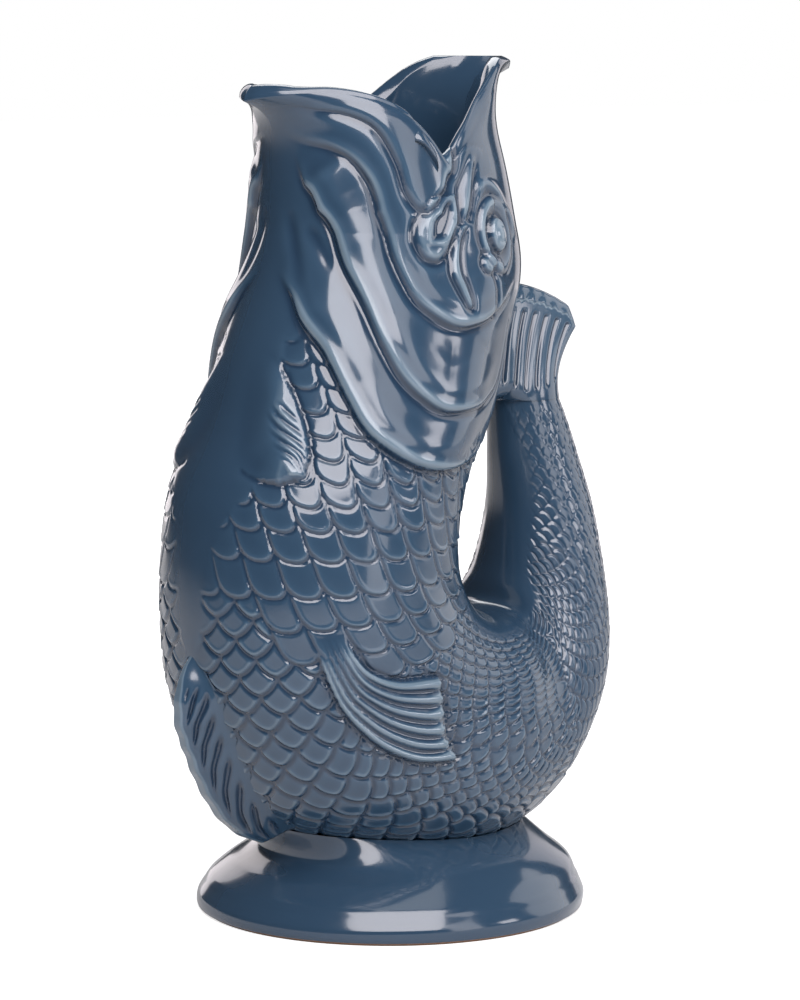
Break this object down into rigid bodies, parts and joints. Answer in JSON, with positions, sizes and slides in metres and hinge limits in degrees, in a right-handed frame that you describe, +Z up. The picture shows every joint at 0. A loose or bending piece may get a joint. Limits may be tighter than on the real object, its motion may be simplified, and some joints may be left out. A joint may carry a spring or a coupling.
{
  "type": "gurgle jug",
  "caption": "Upright fish-shaped gurgle jug in blue glazed earthenware: open mouth spout, hollow tail handle, scaled body and a domed foot.",
  "frame": {"origin": "centre of the foot's standing face, on the surface the jug stands on", "axes": "+Z up, -X towards the lower jaw that pours, +X towards the tail handle, the XZ plane halves the fish, and its left flank is at -Y"},
  "size_m": [0.1521, 0.115, 0.2502],
  "materials": {
    "blue_glaze": "high gloss slate-blue glaze that thins to a paler blue on raised edges and pools darker in the grooves",
    "bare_clay": "matt unglazed fired clay"
  },
  "bodies": {
    "root": {"foot_ring": "bare_clay", "foot": "blue_glaze", "waist_collar": "blue_glaze", "body_shell": "blue_glaze", "head_shell": "blue_glaze", "mouth_lip": "blue_glaze", "tail_handle": "blue_glaze", "tail_fin": "blue_glaze", "belly_fin": "blue_glaze", "rear_fin": "blue_glaze", "gill_cover_left": "blue_glaze", "gill_cover_right": "blue_glaze", "pectoral_fin_left": "blue_glaze", "pectoral_fin_right": "blue_glaze", "pelvic_fin_left": "blue_glaze", "pelvic_fin_right": "blue_glaze", "snout_fold_left": "blue_glaze", "snout_fold_right": "blue_glaze", "eye_left": "blue_glaze", "eye_right": "blue_glaze"}
  },
  "joints": []
}
